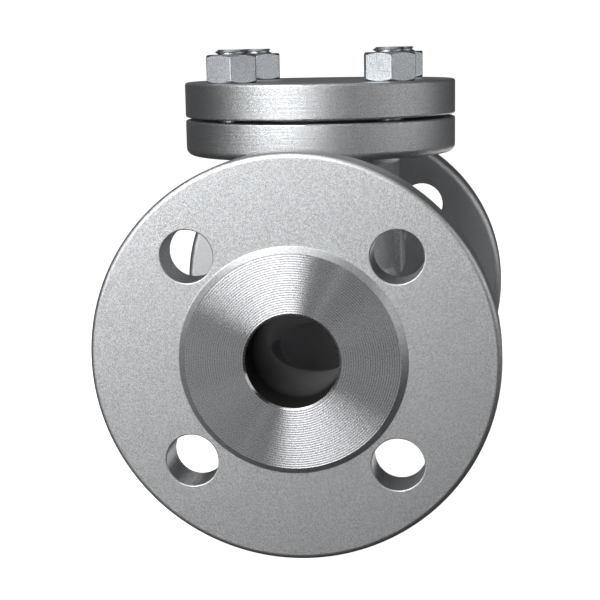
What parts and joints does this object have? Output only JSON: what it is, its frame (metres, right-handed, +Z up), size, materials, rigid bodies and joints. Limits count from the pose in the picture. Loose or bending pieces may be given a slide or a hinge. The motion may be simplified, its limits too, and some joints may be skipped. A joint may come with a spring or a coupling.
{
  "type": "lift non-return valve",
  "caption": "Flanged lift non-return valve with a round bolted cover and a spring-closed guided disc that lifts off its seat.",
  "frame": {"origin": "under the middle of the valve, at the height of the lowest point of the end flanges", "axes": "+Y along the flow from inlet to outlet, +Z up through the bonnet, +X to the right when looking along the flow"},
  "size_m": [0.14, 0.18, 0.1734],
  "materials": {
    "cast_stainless": "bead-blasted investment casting, sealing faces turned",
    "turned_stainless": "turned stainless, satin",
    "stainless_fastener": "cold-formed stainless, smooth",
    "spring_wire": "drawn spring wire",
    "bronze": "turned bronze",
    "graphite_gasket": "pressed graphite sheet",
    "ptfe": "turned PTFE"
  },
  "bodies": {
    "housing": {"valve_body": "cast_stainless", "seat_ring": "turned_stainless", "seat_ring_gasket": "graphite_gasket", "bonnet": "turned_stainless", "bonnet_gasket": "graphite_gasket", "guide_bush": "bronze", "stud_1": "stainless_fastener", "stud_2": "stainless_fastener", "stud_3": "stainless_fastener", "stud_4": "stainless_fastener", "cover_nut_1": "stainless_fastener", "cover_nut_2": "stainless_fastener", "cover_nut_3": "stainless_fastener", "cover_nut_4": "stainless_fastener"},
    "spring_foot": {"closing_spring": "spring_wire"},
    "disc_group": {"disc": "turned_stainless", "disc_seal_ring": "ptfe", "seal_retainer": "turned_stainless", "lock_washer": "stainless_fastener", "retainer_nut": "stainless_fastener"}
  },
  "joints": [
    {"name": "disc_lift", "type": "slide", "parent": "housing", "child": "spring_foot", "axis": [0, 0, 1], "range_m": [0, 0.009], "stiffness_N_per_m": 110, "springref_m": -0.0136, "deforming": ["closing_spring"]},
    {"name": "disc_spin", "type": "hinge", "parent": "spring_foot", "child": "disc_group", "pos_m": [0, 0, 0.089], "axis": [0, 0, 1], "continuous": true}
  ]
}
